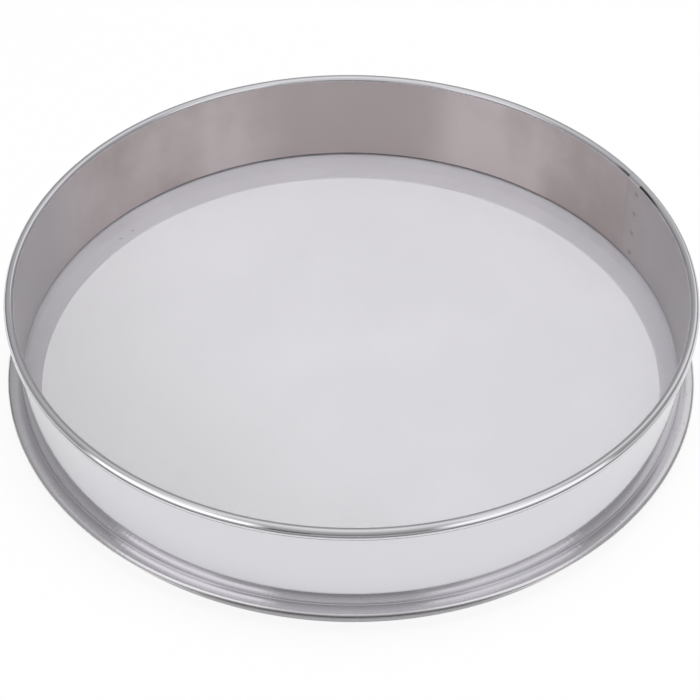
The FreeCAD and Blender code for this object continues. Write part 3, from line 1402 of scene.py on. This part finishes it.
@dataclass(frozen=True)
class Card:
    """A curved card that shows only in reflections, shaded from its foot to its head.

    Angles are in degrees: azimuth from +X to +Y, elevations from the floor. A card with a soft
    edge fades out towards its sides over that angle, and with a fade it does so towards its head.
    """

    name: str
    azimuth: float
    width: float
    low: float
    high: float
    foot: float
    head: float
    bend: float = 1.0
    distance: float = 1.7
    edge: float = 0.0
    fade: float = 0.0
    steps: int = 24

    def build(self) -> None:
        """Add the card at its distance from the drum's axis."""
        turns = spaced(self.azimuth - self.width / 2, self.azimuth + self.width / 2, self.steps)
        vertices = []
        for rise in spaced(math.radians(self.low), math.radians(self.high), self.steps):
            point = Vector((math.cos(rise), math.sin(rise))) * self.distance
            vertices += [at_angle(point, math.radians(turn)) for turn in turns]
        columns = self.steps + 1
        starts = [row * columns + column for row in range(self.steps) for column in range(self.steps)]
        faces = [(here, here + 1, here + columns + 1, here + columns) for here in starts]
        mesh = bpy.data.meshes.new(self.name)
        mesh.from_pydata(vertices, [], faces)
        mesh.materials.append(self.material())
        made = add_object(self.name, mesh)
        made.visible_camera = False
        made.visible_diffuse = False
        made.visible_shadow = False
        made.visible_transmission = False

    def height(self, rise: float) -> float:
        """Height of the card at an elevation."""
        return math.sin(math.radians(rise)) * self.distance

    def material(self) -> bpy.types.Material:
        """Glow that goes from the foot's grey to the head's, late if the bend is over 1.

        Returns:
            The material.
        """
        graph = SurfaceGraph(self.name)
        bottom, top = self.height(self.low), self.height(self.high)
        share = ((graph.z - bottom) / (top - bottom)).larger(0.0) ** self.bend
        grey = self.foot + share * (self.head - self.foot)
        surface = graph.glow(graph.vector(grey, grey, grey))
        if self.edge:
            clear = graph.signal("ShaderNodeBsdfTransparent")
            surface = graph.mix(self.cover(graph), clear, surface)
        return graph.end(surface)

    def cover(self, graph: SurfaceGraph) -> Signal:
        """How much of the card shows: all in its middle, nothing at its sides and at a fading head.

        Args:
            graph: the material's nodes.

        Returns:
            The share, from 0 to 1.
        """
        middle = at_angle(Vector((1.0, 0.0)), math.radians(self.azimuth))
        beside = (graph.x * middle.x + graph.y * middle.y) / graph.radius
        half = self.width / 2
        shown = graph.ramp(beside, *(math.cos(math.radians(turn)) for turn in (half, half - self.edge)))
        if self.fade:
            shown = shown * graph.ramp(graph.z, self.height(self.high), self.height(self.high - self.fade))
        return shown


@dataclass
class Studio:
    """White floor and surround, a soft lamp, and grey cards that the polished metal reflects."""

    floor_half: float = 6.0
    floor_drop: float = 0.05 * MM
    floor_colour: Colour = (0.92, 0.92, 0.92)
    floor_glow: float = 0.9
    floor_mirrored_glow: float = 0.3
    lamp_place: Tuple[float, float, float] = (0.12, -0.1, 1.5)
    lamp_size: float = 0.8
    lamp_power: float = 13.5
    ambient: float = 0.55
    cards: Tuple[Card, ...] = (
        Card("card_round", azimuth=-90.0, width=360.0, low=0.0, high=78.0,
             foot=0.38, head=0.95, bend=4.0),
        Card("card_front", azimuth=-92.0, width=76.0, low=0.0, high=76.0,
             foot=0.22, head=0.95, bend=1.3, distance=0.5, edge=12.0, fade=12.0),
        Card("card_low", azimuth=-90.0, width=176.0, low=0.0, high=12.0,
             foot=0.06, head=0.6, distance=0.21, edge=40.0),
        Card("card_rear", azimuth=50.0, width=60.0, low=25.0, high=76.0,
             foot=0.9, head=0.9, distance=1.5, edge=14.0, fade=14.0),
        Card("card_slot", azimuth=-106.0, width=14.0, low=0.0, high=13.0,
             foot=0.05, head=0.20, distance=0.48),
        Card("card_back", azimuth=144.0, width=24.0, low=0.0, high=16.0,
             foot=0.08, head=0.30, distance=1.5),
        Card("card_left", azimuth=-140.0, width=54.0, low=15.0, high=72.0,
             foot=1.0, head=1.0, distance=1.5, edge=14.0, fade=14.0),
        Card("card_right", azimuth=-42.0, width=54.0, low=15.0, high=72.0,
             foot=1.0, head=1.0, distance=1.5, edge=14.0, fade=14.0),
        Card("card_near_left", azimuth=-123.0, width=40.0, low=15.5, high=25.0,
             foot=1.6, head=1.6, distance=0.193, edge=6.0, fade=6.0),
        Card("card_near_right", azimuth=-57.0, width=40.0, low=15.5, high=25.0,
             foot=1.35, head=1.35, distance=0.193, edge=6.0, fade=6.0),
        Card("card_near_front", azimuth=-91.0, width=30.0, low=3.6, high=12.5,
             foot=0.20, head=0.42, distance=0.19, edge=4.0, fade=4.0),
    )

    def shown_rays(self, graph: Graph) -> Tuple[Signal, Signal]:
        """1 for the rays of a kind and 0 for the rest.

        Args:
            graph: the tree that the nodes are added to.

        Returns:
            Signals for the rays from the camera or through glass, and for the rays from gloss.
        """
        path = graph.node("ShaderNodeLightPath")
        names = ("Is Camera Ray", "Is Transmission Ray", "Is Glossy Ray")
        camera, through, mirrored = (Signal(graph, path.outputs[name]) for name in names)
        return camera.larger(through), mirrored

    def build_world(self) -> None:
        """White where it shows, and a plain level of light elsewhere."""
        world = bpy.data.worlds.new("studio")
        bpy.context.scene.world = world
        world.use_nodes = True
        world.node_tree.nodes.clear()
        graph = Graph(world.node_tree)
        shown, mirrored = self.shown_rays(graph)
        strength = shown.larger(mirrored).larger(self.ambient)
        sockets = {"Color": rgba(WHITE), "Strength": strength}
        glow = graph.signal("ShaderNodeBackground", {}, sockets)
        graph.node("ShaderNodeOutputWorld", {}, {"Surface": glow})

    def build_floor(self) -> None:
        """A wide pale floor that stays white and keeps a soft shadow."""
        half = self.floor_half
        corners = [(-half, -half), (half, -half), (half, half), (-half, half)]
        mesh = bpy.data.meshes.new("floor")
        mesh.from_pydata([(x, y, -self.floor_drop) for x, y in corners], [], [range(len(corners))])
        floor = add_object("floor", mesh)
        graph = SurfaceGraph("floor")
        shown, mirrored = self.shown_rays(graph)
        paint = graph.signal("ShaderNodeBsdfDiffuse", {}, {"Color": rgba(self.floor_colour)})
        share = (shown * self.floor_glow).larger(mirrored * self.floor_mirrored_glow)
        mesh.materials.append(graph.end(graph.mix(share, paint, graph.glow(rgba(WHITE)))))

    def build_lamp(self) -> None:
        """One large soft lamp overhead, which polished metal doesn't mirror."""
        data = bpy.data.lights.new("overhead", "AREA")
        data.shape = "SQUARE"
        data.size = self.lamp_size
        data.energy = self.lamp_power
        lamp = add_object("overhead", data)
        lamp.location = self.lamp_place
        lamp.visible_glossy = False

    def build(self) -> None:
        """Set up the floor, the surround, the lamp and the cards."""
        self.build_world()
        self.build_floor()
        self.build_lamp()
        for card in self.cards:
            card.build()
        bpy.context.scene.view_settings.view_transform = "Standard"


def build_welds(hoop: FrameHoop, base: BaseRing, finish: WeldFinish) -> None:
    """Add the weld spots of both laps, each sunk in its dent.

    Args:
        hoop: gives the places of the spots in the wall's lap.
        base: gives the places of the spots in the foot's lap.
        finish: the finish that they get.
    """
    lap_face = hoop.wall_inner - hoop.lap_proud + hoop.weld_dent
    turn = hoop.weld_angle()
    SpotWelds(
        name="hoop_weld_spots",
        node="hoop_spot_welds",
        places=[at_angle(Vector((lap_face, height)), turn) for height in hoop.weld_heights()],
        facing=Facing.INWARD,
        turn=turn,
        diameter=hoop.weld_diameter * hoop.mark_share,
    ).build(finish)
    lap_top = 2 * base.sheet - base.weld_dent
    SpotWelds(
        name="base_weld_spots",
        node="base_spot_welds",
        places=[at_angle(Vector((radius, lap_top)), angle) for radius, angle in base.weld_places()],
        facing=Facing.UP,
        turn=base.seam_angle,
        diameter=base.weld_diameter * base.mark_share,
    ).build(finish)


def main() -> None:
    """Build the sieve and the studio."""
    logging.basicConfig(level=logging.INFO, format="%(name)s %(message)s")
    hoop = FrameHoop()
    hoop.build(HoopFinish())
    RimWire().build(WireFinish(), hoop)
    base = BaseRing()
    base.build(BaseFinish())
    WireCloth().build(ClothFinish())
    build_welds(hoop, base, WeldFinish())
    PhotoCamera().build()
    Studio().build()


if __name__ == "__main__":
    main()
